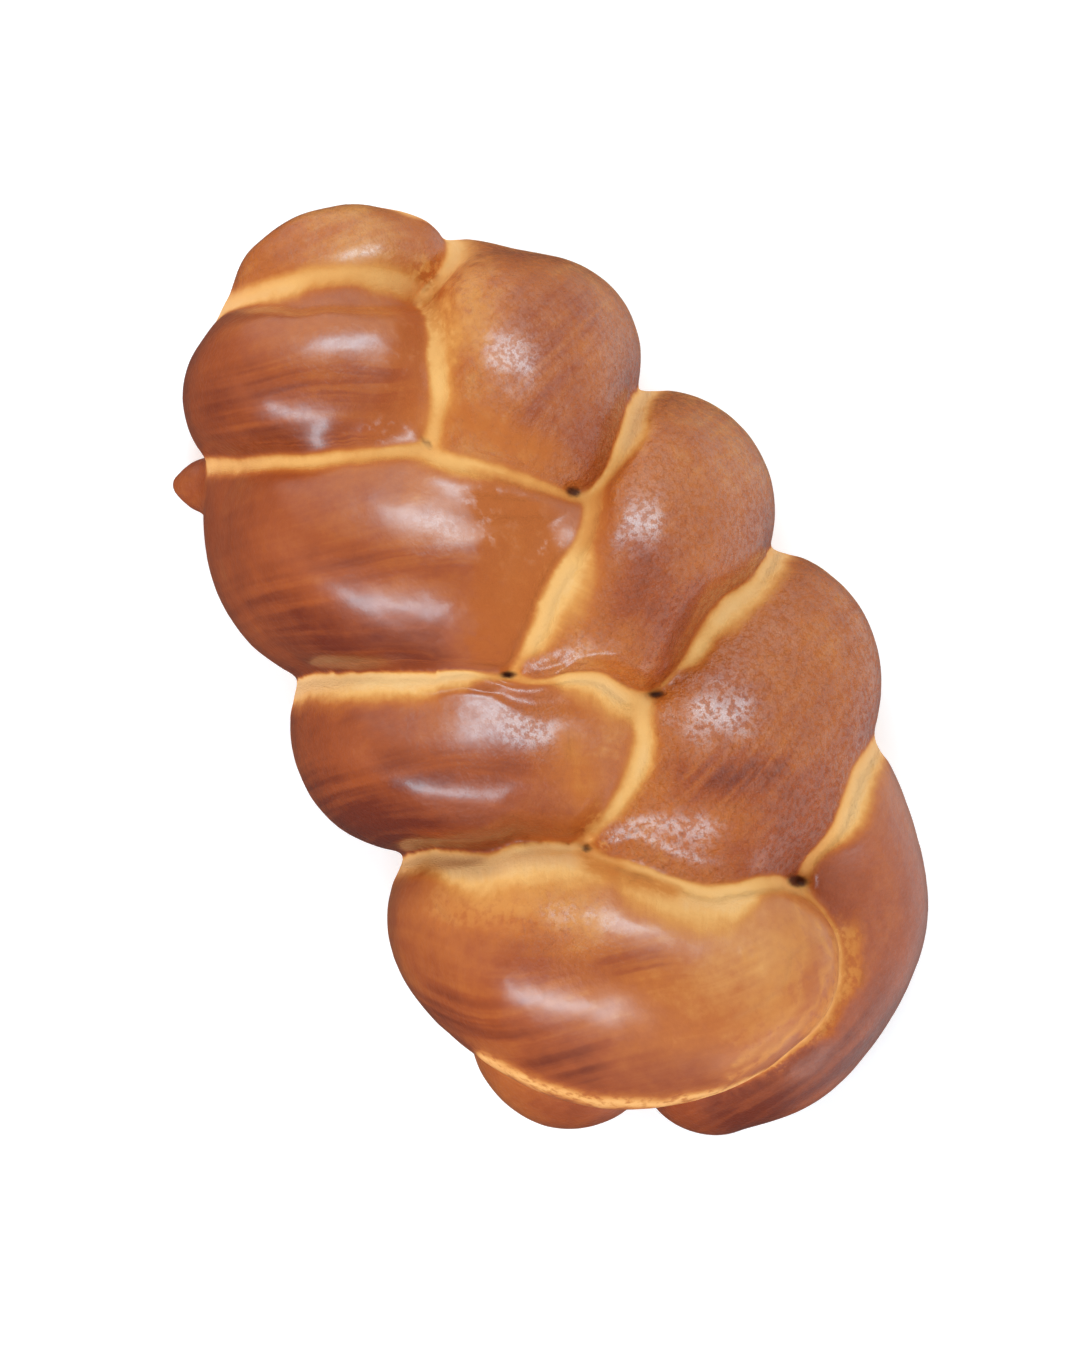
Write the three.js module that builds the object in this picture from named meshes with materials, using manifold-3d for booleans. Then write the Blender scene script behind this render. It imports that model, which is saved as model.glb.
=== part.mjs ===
import * as THREE from "three";
import { mergeVertices } from "three/addons/utils/BufferGeometryUtils.js";
import Module from "manifold-3d";

// A baked three-strand braided brioche loaf, in millimetres. +X runs along the loaf toward the end with the
// curled strand, +Y runs across it and +Z is up. The flat bottom crust lies on z = 0.

// How a strand rises and falls as it crosses the loaf from one side to the other.
const MIDDLE_HEIGHT = 31;
const CLIMB = 12.8;
const CLIMB_DELAY = 0.092;
const CREST_SETBACK = 9.5;
const STEPS_PER_CROSSING = 8;

// How finely each piece of dough is faceted: upright rings this far apart, each with this many sides.
const RING_SPACING = 3.7;
const CAP_RINGS = 6;
const SIDES = 32;
const BALLS_PER_PIECE = 200;

// The fused crumb under the crossings: a flattened egg shape that the strands are baked onto.
const CRUMB_HALF_LENGTH = 98;
const CRUMB_HALF_WIDTH = 46;
const CRUMB_HALF_HEIGHT = 34;
const CRUMB_CENTRE = new THREE.Vector3(-4, 0, 14);
const CRUMB_SIDES = 40;
const CRUMB_RINGS = 20;

// A length greater than the loaf itself: it gives a point well outside, and the size of a block that stands
// on the baking tray and trims the bottom crust flat.
const OUTSIDE_LOAF = 400;

const CRUST_COLOUR = "#b9652f";
const CRUST_ROUGHNESS = 0.38;
const CRUST_METALNESS = 0;

// A bend at the side of the loaf: its place along the loaf, how far from the middle line its crust reaches
// (negative on the -Y side) and the strand's radius there.
const bend = (x, reach, radius) => ({ x, reach, radius });
// A place the free end of a strand passes through, with the strand's radius there.
const tuck = (x, y, z, radius) => ({ x, y, z, radius });

const STRANDS = [
  {
    start: [tuck(-87.5, -8.5, 20.5, 17), tuck(-84, 7.5, 20.5, 20)],
    bends: [bend(-66.5, 51.7, 24.7), bend(-2.7, -68, 29.9), bend(55.7, 56.8, 23.6)],
    end: [tuck(82, 27, 16.5, 23.5), tuck(98.5, 3.5, 21.5, 21.3), tuck(100, -13, 18, 18)],
  },
  {
    start: [tuck(-100, 3, 29.5, 17), tuck(-95.8, -10.3, 34, 19.7)],
    bends: [bend(-86.7, -52.4, 22), bend(-21.7, 64.1, 27.8), bend(47.6, -68.9, 28.3)],
    end: [tuck(68.8, -28.6, 44.8, 29.5), tuck(79, -12, 45, 27.3), tuck(80.5, 3.7, 44, 24)],
  },
  {
    start: [tuck(-90, -21, 21, 19)],
    bends: [bend(-49.7, -65, 35), bend(24.8, 67.9, 28.9)],
    end: [tuck(47, 12.4, 33, 32), tuck(75.5, -23.7, 21.8, 22.8), tuck(77.5, -40, 17.4, 23.5)],
  },
];

// The free ends that show at the top of the loaf: a knob lying across it, and a thin tip poking out at the
// -Y side.
const KNOB = [
  tuck(-99.4, 9, 33.8, 12),
  tuck(-104.3, 0.4, 35, 15.6),
  tuck(-104.4, -10.5, 33, 17),
  tuck(-98, -20, 26, 17),
];
const THIN_TIP = [
  tuck(-62, -34, 19, 15),
  tuck(-71, -47, 16, 10),
  tuck(-76.5, -55.5, 13, 6.5),
  tuck(-79, -60, 12, 3),
];
const FREE_ENDS = [KNOB, THIN_TIP];

// The crumb where the strands have baked into one another along the middle of the loaf.
const HEART = [tuck(-88, -2, 27, 18), tuck(-50, 0, 33, 22), tuck(45, 0, 33, 22), tuck(88, -2, 22, 16)];

// Where a strand's centre passes when it is part of the way from one bend to the next.
function crossingAt(from, to, share) {
  const centreY = ({ reach, radius }) => Math.sign(reach) * (Math.abs(reach) - radius);
  const across = (1 - Math.cos(Math.PI * share)) / 2;
  const turn = 2 * Math.PI;
  return tuck(
    THREE.MathUtils.lerp(from.x, to.x, share) - CREST_SETBACK * Math.sin(turn * share),
    THREE.MathUtils.lerp(centreY(from), centreY(to), across),
    MIDDLE_HEIGHT + CLIMB * Math.sin(turn * (share - CLIMB_DELAY)),
    THREE.MathUtils.lerp(from.radius, to.radius, share),
  );
}

function placesAlong({ start, bends, end }) {
  const places = [...start];
  for (let i = 0; i + 1 < bends.length; i++) {
    for (let step = 0; step < STEPS_PER_CROSSING; step++) {
      places.push(crossingAt(bends[i], bends[i + 1], step / STEPS_PER_CROSSING));
    }
  }
  const last = bends[bends.length - 1];
  places.push(crossingAt(last, last, 0));
  return [...places, ...end];
}

// A piece of dough as balls packed along a smooth path through its places.
function ballsAlong(places) {
  const centres = new THREE.CatmullRomCurve3(places.map(({ x, y, z }) => new THREE.Vector3(x, y, z)));
  const radii = new THREE.CatmullRomCurve3(places.map(({ radius }, i) => new THREE.Vector3(i, radius, 0)));
  return Array.from({ length: BALLS_PER_PIECE + 1 }, (_, i) => {
    const t = centres.getUtoTmapping(i / BALLS_PER_PIECE);
    return new THREE.Sphere(centres.getPoint(t), radii.getPoint(t).y);
  });
}

// The point of the balls' skin that lies farthest out from origin along direction, found by looking back in
// from well outside the loaf.
function skinPoint(origin, direction, balls) {
  const outside = origin.clone().addScaledVector(direction, OUTSIDE_LOAF);
  const inward = new THREE.Ray(outside, direction.clone().negate());
  const hit = new THREE.Vector3();
  const skin = origin.clone();
  for (const ball of balls) {
    if (inward.intersectSphere(ball, hit) && hit.distanceTo(outside) < skin.distanceTo(outside)) {
      skin.copy(hit);
    }
  }
  return skin;
}

// Where along forward a piece is sliced: even steps, drawn closer together over its two rounded tips.
function slicePlaces(lowBall, highBall, forward) {
  const low = lowBall.center.dot(forward);
  const high = highBall.center.dot(forward);
  const steps = Math.round((high - low) / RING_SPACING);
  const capShares = Array.from({ length: CAP_RINGS }, (_, i) => Math.cos(((i / CAP_RINGS) * Math.PI) / 2));
  return [
    ...capShares.map((share) => low - share * lowBall.radius),
    ...Array.from({ length: steps + 1 }, (_, i) => low + ((high - low) * i) / steps),
    ...capShares.reverse().map((share) => high + share * highBall.radius),
  ];
}

// The middle of the slice at one place: the balls' centres, each weighed by how much of it the slice cuts.
function sliceMiddle(place, balls, forward) {
  const middle = new THREE.Vector3();
  let total = 0;
  for (const { center, radius } of balls) {
    const weight = Math.max(0, radius ** 2 - (center.dot(forward) - place) ** 2);
    middle.addScaledVector(center, weight);
    total += weight;
  }
  return middle.divideScalar(total);
}

// A ball's skin stretched over the whole piece: its rows become upright rings and its poles the two tips.
function doughGeometry(places) {
  const balls = ballsAlong(places);
  const forward = balls[balls.length - 1].center.clone().sub(balls[0].center).setZ(0).normalize();
  const lowEnd = ({ center, radius }) => center.dot(forward) - radius;
  const highEnd = ({ center, radius }) => center.dot(forward) + radius;
  const lowBall = balls.reduce((a, b) => (lowEnd(b) < lowEnd(a) ? b : a));
  const highBall = balls.reduce((a, b) => (highEnd(b) > highEnd(a) ? b : a));
  const slices = slicePlaces(lowBall, highBall, forward);
  const geometry = new THREE.SphereGeometry(1, SIDES, slices.length - 1);
  const position = geometry.attributes.position;
  const up = new THREE.Vector3(0, 0, 1);
  const sideways = new THREE.Vector3().crossVectors(up, forward);
  slices.forEach((place, row) => {
    const tip = { 0: lowBall, [slices.length - 1]: highBall }[row];
    const middle = tip ? tip.center.clone() : sliceMiddle(place, balls, forward);
    middle.addScaledVector(forward, place - middle.dot(forward));
    for (let i = 0; i <= SIDES; i++) {
      const angle = (2 * Math.PI * (i % SIDES)) / SIDES;
      const direction = sideways.clone().multiplyScalar(-Math.cos(angle));
      direction.addScaledVector(up, Math.sin(angle));
      const point = tip ? middle : skinPoint(middle, direction, balls);
      position.setXYZ(row * (SIDES + 1) + i, point.x, point.y, point.z);
    }
  });
  return geometry;
}

const wasm = await Module();
wasm.setup();

function solidOf(geometry) {
  const bare = geometry.clone();
  bare.deleteAttribute("normal");
  bare.deleteAttribute("uv");
  const merged = mergeVertices(bare);
  return new wasm.Manifold(
    new wasm.Mesh({
      numProp: 3,
      vertProperties: merged.attributes.position.array,
      triVerts: new Uint32Array(merged.index.array),
    }),
  );
}

function crumb() {
  const egg = new THREE.SphereGeometry(1, CRUMB_SIDES, CRUMB_RINGS);
  egg.scale(CRUMB_HALF_LENGTH, CRUMB_HALF_WIDTH, CRUMB_HALF_HEIGHT);
  return solidOf(egg.translate(CRUMB_CENTRE.x, CRUMB_CENTRE.y, CRUMB_CENTRE.z));
}

function aboveTray() {
  const block = new THREE.BoxGeometry(OUTSIDE_LOAF, OUTSIDE_LOAF, OUTSIDE_LOAF);
  return solidOf(block.translate(0, 0, OUTSIDE_LOAF / 2));
}

function loafSolid() {
  const pieces = [...STRANDS.map(placesAlong), ...FREE_ENDS, HEART];
  const dough = pieces.reduce((joined, places) => joined.add(solidOf(doughGeometry(places))), crumb());
  return dough.intersect(aboveTray());
}

function geometryOf(solid) {
  const { vertProperties, triVerts } = solid.getMesh();
  const geometry = new THREE.BufferGeometry();
  geometry.setAttribute("position", new THREE.BufferAttribute(vertProperties, 3));
  geometry.setIndex(new THREE.BufferAttribute(triVerts, 1));
  geometry.computeVertexNormals();
  return geometry;
}

// The loaf standing on z = 0 with the middle of its outline over the origin.
function centred(geometry) {
  geometry.computeBoundingBox();
  const middle = geometry.boundingBox.getCenter(new THREE.Vector3());
  return geometry.translate(-middle.x, -middle.y, 0);
}

const crust = new THREE.MeshStandardMaterial({
  color: CRUST_COLOUR,
  roughness: CRUST_ROUGHNESS,
  metalness: CRUST_METALNESS,
});
const loaf = new THREE.Mesh(centred(geometryOf(loafSolid())), crust);
loaf.name = "loaf";

const brioche = new THREE.Group();
brioche.add(loaf);
export default brioche;
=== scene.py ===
# %% [markdown]
# # A braided brioche loaf
# The plain loaf that this lesson starts from is one closed solid with three fat strands braided along +X.
# It has the right size and the right bulges, but its skin is faceted and all one colour.
# The lesson gives it the skin of a real loaf: smooth risen dough, soft furrows between the turns of the braid,
# small open pits where three turns meet, pale stripes where the dough stretched in the oven after it was
# brushed with egg, and a glossy brown crust everywhere else.

# %% Load the plain loaf
import math

import bmesh
import bpy
import numpy as np
from mathutils import Matrix, Vector, noise


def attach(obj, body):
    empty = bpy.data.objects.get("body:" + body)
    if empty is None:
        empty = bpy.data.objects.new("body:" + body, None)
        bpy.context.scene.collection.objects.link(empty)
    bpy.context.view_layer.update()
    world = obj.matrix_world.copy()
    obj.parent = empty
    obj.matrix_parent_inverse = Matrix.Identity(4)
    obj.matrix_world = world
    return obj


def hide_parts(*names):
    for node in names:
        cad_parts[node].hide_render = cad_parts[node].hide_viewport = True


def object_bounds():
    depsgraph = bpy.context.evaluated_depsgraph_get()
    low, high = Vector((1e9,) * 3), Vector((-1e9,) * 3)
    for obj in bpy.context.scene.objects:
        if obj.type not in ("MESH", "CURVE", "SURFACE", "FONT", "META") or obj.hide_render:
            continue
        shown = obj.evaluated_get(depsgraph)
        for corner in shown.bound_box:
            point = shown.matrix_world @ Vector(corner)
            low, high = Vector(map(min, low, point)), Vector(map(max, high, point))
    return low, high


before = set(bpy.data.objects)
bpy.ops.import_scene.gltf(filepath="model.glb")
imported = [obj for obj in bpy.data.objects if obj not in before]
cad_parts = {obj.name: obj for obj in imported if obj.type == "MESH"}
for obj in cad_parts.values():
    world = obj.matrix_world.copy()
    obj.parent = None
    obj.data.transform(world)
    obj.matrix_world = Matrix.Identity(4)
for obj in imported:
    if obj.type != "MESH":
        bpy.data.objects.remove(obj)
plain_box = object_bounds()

MM = 0.001
plain_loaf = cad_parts["loaf"]
print("plain loaf, mm:", [round(side / MM, 1) for side in plain_box[1] - plain_box[0]])

# %% [markdown]
# ## Where the strands run
# A braid is three ropes of dough, each swinging from one side of the loaf to the other and back.
# A strand is drawn as a few bends at the sides, with a smooth crossing worked out between them: it climbs over
# the middle of the loaf and then dives under the next strand. The loose ends are tucked in by hand, so those
# places are given one by one. All lengths here are millimetres, because a baker's ruler has them.

# %% The strands of the braid
MIDDLE_HEIGHT = 31
CLIMB = 12.8
CLIMB_DELAY = 0.092
CREST_SETBACK = 9.5
STEPS_PER_CROSSING = 8
STEPS_BEFORE_DIVE = 5

# Bends are (x, reach from the middle line, radius) and tucked ends are (x, y, z, radius).
# The turns of the braid are numbered in the order they lie along the loaf; turns names the ones a strand makes.
STRANDS = [
    dict(
        turns=(2, 5, 8, 8),
        start=[(-87.5, -8.5, 20.5, 17), (-84, 7.5, 20.5, 20)],
        bends=[(-66.5, 51.7, 24.7), (-2.7, -68, 29.9), (55.7, 56.8, 23.6)],
        end=[(82, 27, 16.5, 23.5), (98.5, 3.5, 21.5, 21.3), (100, -13, 18, 18)],
    ),
    dict(
        turns=(1, 4, 7, 7),
        start=[(-100, 3, 29.5, 17), (-95.8, -10.3, 34, 19.7)],
        bends=[(-86.7, -52.4, 22), (-21.7, 64.1, 27.8), (47.6, -68.9, 28.3)],
        end=[(68.8, -28.6, 44.8, 29.5), (79, -12, 45, 27.3), (80.5, 3.7, 44, 24)],
    ),
    dict(
        turns=(3, 6, 9),
        start=[(-90, -21, 21, 19)],
        bends=[(-49.7, -65, 35), (24.8, 67.9, 28.9)],
        end=[(47, 12.4, 33, 32), (75.5, -23.7, 21.8, 22.8), (77.5, -40, 17.4, 23.5)],
    ),
]
KNOB_TURN = 0
KNOB = [(-99.4, 9, 33.8, 12), (-104.3, 0.4, 35, 15.6), (-104.4, -10.5, 33, 17), (-98, -20, 26, 17)]
TIP_TURN = 1.5
THIN_TIP = [(-62, -34, 19, 15), (-71, -47, 16, 10), (-76.5, -55.5, 13, 6.5), (-79, -60, 12, 3)]


def crossing_at(start, finish, share):
    """The strand's (x, y, z, radius) part of the way from one bend to the next."""
    middle_y = [math.copysign(abs(reach) - radius, reach) for _, reach, radius in (start, finish)]
    across = (1 - math.cos(math.pi * share)) / 2
    swing = math.tau * share
    return (
        start[0] + (finish[0] - start[0]) * share - CREST_SETBACK * math.sin(swing),
        middle_y[0] + (middle_y[1] - middle_y[0]) * across,
        MIDDLE_HEIGHT + CLIMB * math.sin(swing - math.tau * CLIMB_DELAY),
        start[2] + (finish[2] - start[2]) * share,
    )


def places_along(strand):
    """Every place a strand passes through, and the turn of the braid it belongs to there."""
    places, turns = list(strand["start"]), [strand["turns"][0]] * len(strand["start"])
    for i, (here, there) in enumerate(zip(strand["bends"], strand["bends"][1:])):
        for step in range(STEPS_PER_CROSSING):
            places.append(crossing_at(here, there, step / STEPS_PER_CROSSING))
            turns.append(strand["turns"][i if step < STEPS_BEFORE_DIVE else i + 1])
    last = strand["bends"][-1]
    places += [crossing_at(last, last, 0), *strand["end"]]
    turns += [strand["turns"][-2]] * 2 + [strand["turns"][-1]] * (len(strand["end"]) - 1)
    return places, turns


for strand in STRANDS:
    print("strand with turns", strand["turns"], "passes", len(places_along(strand)[0]), "places")

# %% [markdown]
# ## Balls of dough
# A strand of changing thickness is easy to measure against when it is many overlapping balls along its path.
# The skin of the loaf is then simply the place where the nearest ball begins.
# The path itself is a curve that passes through every place without overshooting, which is what a
# centripetal Catmull-Rom curve does.

# %% Balls along a smooth path
BALLS_PER_STEP = 14


def smooth_path(points, count):
    """A centripetal Catmull-Rom curve through the points, read at count + 1 even steps."""
    points = np.array(points, float)
    padded = np.vstack([2 * points[0] - points[1], points, 2 * points[-1] - points[-2]])
    path = []
    for place in np.linspace(0, len(points) - 1, count + 1):
        i = min(int(place), len(points) - 2)
        before, here, there, after = padded[i : i + 4]
        a, b, c = (np.linalg.norm(q - p) ** 0.5 for p, q in ((before, here), (here, there), (there, after)))
        leave = ((here - before) / a - (there - before) / (a + b) + (there - here) / b) * b
        arrive = ((there - here) / b - (after - here) / (b + c) + (after - there) / c) * b
        w = place - i
        bend_back = -3 * here + 3 * there - 2 * leave - arrive
        straighten = 2 * here - 2 * there + leave + arrive
        path.append(here + leave * w + bend_back * w**2 + straighten * w**3)
    return np.array(path)


def balls_along(places, turns):
    """One row a ball: centre x, y, z, radius, the turn it belongs to, and its distance along the strand."""
    places = np.array(places, float)
    steps = len(places) - 1
    centres = smooth_path(places[:, :3], steps * BALLS_PER_STEP)
    radii = smooth_path(np.column_stack([np.arange(len(places)), places[:, 3]]), steps * BALLS_PER_STEP)[:, 1]
    nearest_place = np.round(np.linspace(0, steps, len(centres))).astype(int)
    stride = np.linalg.norm(np.diff(centres, axis=0, prepend=centres[:1]), axis=1)
    return np.column_stack([centres, radii, np.array(turns, float)[nearest_place], np.cumsum(stride)])


balls = np.vstack(
    [balls_along(*places_along(strand)) for strand in STRANDS]
    + [balls_along(KNOB, [KNOB_TURN] * len(KNOB)), balls_along(THIN_TIP, [TIP_TURN] * len(THIN_TIP))]
)
outline_low = (balls[:, :2] - balls[:, 3:4]).min(0)
outline_high = (balls[:, :2] + balls[:, 3:4]).max(0)
balls[:, :2] -= (outline_low + outline_high) / 2
shift = -(outline_low + outline_high) / 2
TURNS = np.unique(balls[:, 4])
COLUMN = {turn: i for i, turn in enumerate(TURNS)}  # where each turn stands in the tables below
print(len(balls), "balls in", len(TURNS), "turns, moved by", shift.round(2), "mm to stand centred")

# %% [markdown]
# ## Measuring from a point to every turn
# For each point of the skin we want to know which turn it lies on and how far away the other turns are.
# That one table drives everything later: the shape of the furrows, the pale stripes and the browning.
# The soft crumb under the crossings is a flattened egg; it counts as one more turn, so that the skin knows
# where it rests on the crumb and not on a strand.

# %% Distance tables
CRUMB_HALF_SIZES = np.array([98, 46, 34])
CRUMB_CENTRE = np.array([-4 + shift[0], shift[1], 14])
ROWS_AT_ONCE = 20000


def distance_to_turn(points, turn):
    """How far each point is outside one turn's balls, and the row of the ball that is nearest."""
    rows = np.flatnonzero(balls[:, 4] == turn)
    centres, radii = balls[rows, :3], balls[rows, 3]
    distance, nearest = np.empty(len(points)), np.empty(len(points), int)
    for i in range(0, len(points), ROWS_AT_ONCE):
        some = points[i : i + ROWS_AT_ONCE]
        squared = (some**2).sum(1)[:, None] + (centres**2).sum(1)[None] - 2 * some @ centres.T
        gap = np.sqrt(np.maximum(squared, 0)) - radii[None]
        best = gap.argmin(1)
        nearest[i : i + ROWS_AT_ONCE] = rows[best]
        distance[i : i + ROWS_AT_ONCE] = gap[np.arange(len(some)), best]
    return distance, nearest


def distance_to_crumb(points):
    """Close to the true distance outside the crumb's egg shape."""
    scaled = (points - CRUMB_CENTRE) / CRUMB_HALF_SIZES
    reach = np.linalg.norm(scaled, axis=1)
    slope = np.linalg.norm(scaled / CRUMB_HALF_SIZES, axis=1)
    return reach * (reach - 1) / np.maximum(slope, 1e-6)


def measure(points):
    """Distances to all turns (one column each, the crumb last), the own turn's column and the own ball."""
    columns = [distance_to_turn(points, turn) for turn in TURNS]
    distances = np.column_stack([c[0] for c in columns] + [distance_to_crumb(points)])
    own = distances.argmin(1)
    strand_own = distances[:, :-1].argmin(1)
    own_ball = np.column_stack([c[1] for c in columns])[np.arange(len(points)), strand_own]
    return distances, own, own_ball


print("distance tables have", len(TURNS) + 1, "columns")

# %% [markdown]
# ## An even skin
# A faceted mesh has long thin triangles that can't hold a soft furrow. A voxel remesh throws the facets away
# and lays an even net of small squares over the same shape, like shrink wrap. The solid's loose triangles are
# merged first, so that the remesh sees one closed body.

# %% Remesh a copy of the plain loaf
SKIN_NET = 1.06 * MM


def even_skin(source, name):
    """A new object with source's shape and an even net of squares."""
    merged = bmesh.new()
    merged.from_mesh(source.data)
    bmesh.ops.remove_doubles(merged, verts=merged.verts, dist=0.001 * MM)
    mesh = bpy.data.meshes.new(name)
    merged.to_mesh(mesh)
    merged.free()
    draft = bpy.data.objects.new(name + "_draft", mesh)
    bpy.context.scene.collection.objects.link(draft)
    net = draft.modifiers.new("even net", "REMESH")
    net.mode = "VOXEL"
    net.voxel_size = SKIN_NET
    finished = bpy.data.meshes.new_from_object(draft.evaluated_get(bpy.context.evaluated_depsgraph_get()))
    bpy.data.objects.remove(draft)
    piece = bpy.data.objects.new(name, finished)
    bpy.context.scene.collection.objects.link(piece)
    return piece


def skin_points(piece):
    points = np.empty(len(piece.data.vertices) * 3)
    piece.data.vertices.foreach_get("co", points)
    return points.reshape(-1, 3) / MM


def move_skin(piece, points):
    piece.data.vertices.foreach_set("co", (points * MM).ravel())
    piece.data.update()


def skin_normals(piece):
    normals = np.empty(len(piece.data.vertices) * 3)
    piece.data.vertices.foreach_get("normal", normals)
    return normals.reshape(-1, 3)


loaf = even_skin(plain_loaf, "baked_loaf")
print("even skin:", len(loaf.data.polygons), "squares")

# %% [markdown]
# ## Proving the dough
# Risen dough has no facets and its turns press into each other with a rounded furrow, not a knife cut.
# Each point moves onto the true round skin of its turn. Close to a neighbour the two skins are blended,
# which fills the very bottom of the furrow with a small fillet.

# %% Ease the skin onto the strands
FURROW_FILLET = 2.4
EASE_PASSES = 3
FARTHEST_EASE = 1.6
TRAY_EDGE = 0.6


def blended_gap(distances, fillet):
    """Distance to the skin with the two nearest turns blended over the width of the fillet."""
    nearest_two = np.partition(distances, 1, axis=1)[:, :2]
    closeness = np.maximum(fillet - (nearest_two[:, 1] - nearest_two[:, 0]), 0) / fillet
    return nearest_two[:, 0] - closeness**2 * fillet / 4


points = skin_points(loaf)
off_tray = points[:, 2] > TRAY_EDGE
for _ in range(EASE_PASSES):
    distances, own, own_ball = measure(points[off_tray])
    gap = np.clip(blended_gap(distances, FURROW_FILLET), -FARTHEST_EASE, FARTHEST_EASE)
    outward = points[off_tray] - balls[own_ball, :3]
    outward /= np.linalg.norm(outward, axis=1)[:, None]
    on_strand = own < len(TURNS)
    points[off_tray] -= outward * (gap * on_strand)[:, None]
points[:, 2] = np.maximum(points[:, 2], 0)
move_skin(loaf, points)
print("skin eased by at most", FARTHEST_EASE, "mm a pass; last pass", np.abs(gap[on_strand]).max().round(2))

# %% [markdown]
# ## Nudging the turns into place
# A rule gives every crossing the same rhythm, but hands don't. After the braid is laid, some furrows are pushed
# a few millimetres along or across, as a baker would with a thumb. Each nudge says where a point of the skin is
# and where it should go; points in between move by a blend of the nudges around them. A coarse round comes
# first and a finer one, with a shorter reach, sets the corners right.

# %% Where the furrows are and where they should be
# (x, y) now and (x, y) wanted, along the furrows near the middle of the loaf.
COARSE_NUDGES = [
    ((-21.5, 17.6), (-24.5, 17.4)),
    ((-7.8, 10.3), (-13.4, 5.2)),
    ((0.5, 4.0), (-9.0, -5.0)),
    ((1.8, -6.0), (-2.3, -13.0)),
    ((19.0, -2.2), (5.5, 1.0)),
    ((14.0, -9.0), (1.5, -6.0)),
    ((26.2, 19.3), (17.0, 14.7)),
    ((34.9, 11.2), (27.2, 6.8)),
    ((43.9, -4.9), (38.5, -9.7)),
    ((47.2, -12.6), (41.0, -15.6)),
    ((19.7, 25.6), (14.3, 24.2)),
    ((68.0, 14.0), (71.4, 10.4)),
    ((-88.6, 9.3), (-92.9, 10.5)),
    ((-69.9, 6.0), (-73.4, 6.1)),
    ((-62.9, 2.7), (-65.5, -0.2)),
    ((-35.9, 18.8), (-33.0, 20.8)),
    ((21.3, 18.9), (17.2, 15.8)),
]
FINE_NUDGES = [
    ((-108.3, -24.6), (-110.1, -23.7)),
    ((-108.0, -12.6), (-107.7, -13.3)),
    ((-106.0, -0.7), (-103.0, -2.3)),
    ((-102.5, 6.9), (-99.1, 5.1)),
    ((-59.9, -6.2), (-57.1, -4.8)),
    ((-73.2, -41.6), (-74.8, -40.7)),
    ((-67.6, -27.2), (-68.0, -27.0)),
    ((-64.3, -15.1), (-62.3, -15.3)),
    ((-52.1, -2.6), (-52.7, -0.5)),
    ((-44.0, 3.5), (-46.7, 5.9)),
    ((-38.1, 10.8), (-40.3, 13.2)),
    ((-33.6, 20.5), (-31.9, 21.4)),
    ((-6.7, -11.9), (-2.6, -12.3)),
    ((-11.6, -24.0), (-10.2, -24.7)),
    ((-16.2, -35.4), (-15.8, -35.6)),
    ((-3.2, -7.7), (0.6, -8.9)),
    ((5.1, -1.7), (5.1, -1.4)),
    ((13.0, 2.7), (9.3, 5.6)),
    ((18.8, 8.3), (13.5, 11.1)),
    ((17.1, 14.4), (17.5, 14.5)),
    ((28.1, 2.5), (28.5, 4.5)),
    ((40.3, -17.0), (41.3, -16.3)),
    ((55.3, -7.0), (53.2, -6.8)),
    ((62.3, -2.1), (58.8, -0.2)),
    ((66.6, 6.0), (63.5, 8.6)),
    ((71.7, 17.2), (67.8, 19.2)),
    ((77.0, 25.6), (71.2, 24.4)),
    ((84.9, 27.4), (82.5, 27.8)),
    ((72.1, 29.8), (68.2, 27.0)),
    ((64.7, 35.5), (64.7, 36.9)),
]
print(len(COARSE_NUDGES), "coarse and", len(FINE_NUDGES), "fine nudges")

# %% Nudge the furrows
NUDGED_ABOVE = (18, 32)
COARSE_REACH, FINE_REACH = 12, 7
NUDGE_FLOOR = 0.05


def smooth_rise(value, low, high):
    """0 below low, 1 above high and an S-shaped slope between them."""
    share = np.clip((value - low) / (high - low), 0, 1)
    return share * share * (3 - 2 * share)


def away_from(points, place):
    """How far each point is from a place (x, y), seen from above."""
    return np.linalg.norm(points[:, :2] - (np.array(place) + shift), axis=1)


def nudge(points, nudges, farthest):
    """How far each point moves in x and y."""
    total, moved = np.full(len(points), NUDGE_FLOOR), np.zeros((len(points), 2))
    for here, wanted in nudges:
        weight = np.exp(-((away_from(points, here) / farthest) ** 2))
        total += weight
        moved += weight[:, None] * (np.array(wanted) - here)
    return moved / total[:, None] * smooth_rise(points[:, 2], *NUDGED_ABOVE)[:, None]


points = skin_points(loaf)
distances, own, own_ball = measure(points)
others = np.where(np.arange(distances.shape[1])[None] == own[:, None], np.inf, distances)
furrow = others.min(1)
for nudges, farthest in ((COARSE_NUDGES, COARSE_REACH), (FINE_NUDGES, FINE_REACH)):
    moved = nudge(points, nudges, farthest)
    points[:, :2] += moved
    print("nudged by at most", np.linalg.norm(moved, axis=1).max().round(1), "mm")

# %% [markdown]
# ## Broad backs
# A rope of dough has a round back, but a risen turn has a broad one: it swells into a low dome until its
# neighbours stop it, and how broad the dome is decides where light lies on the glaze. Each patch of skin below
# has a height, a lean, and a gentle round along its long side and another across it. The skin moves up or
# down onto it, fully near its middle and less the farther it drops away, and the furrows stay where they are.

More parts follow.
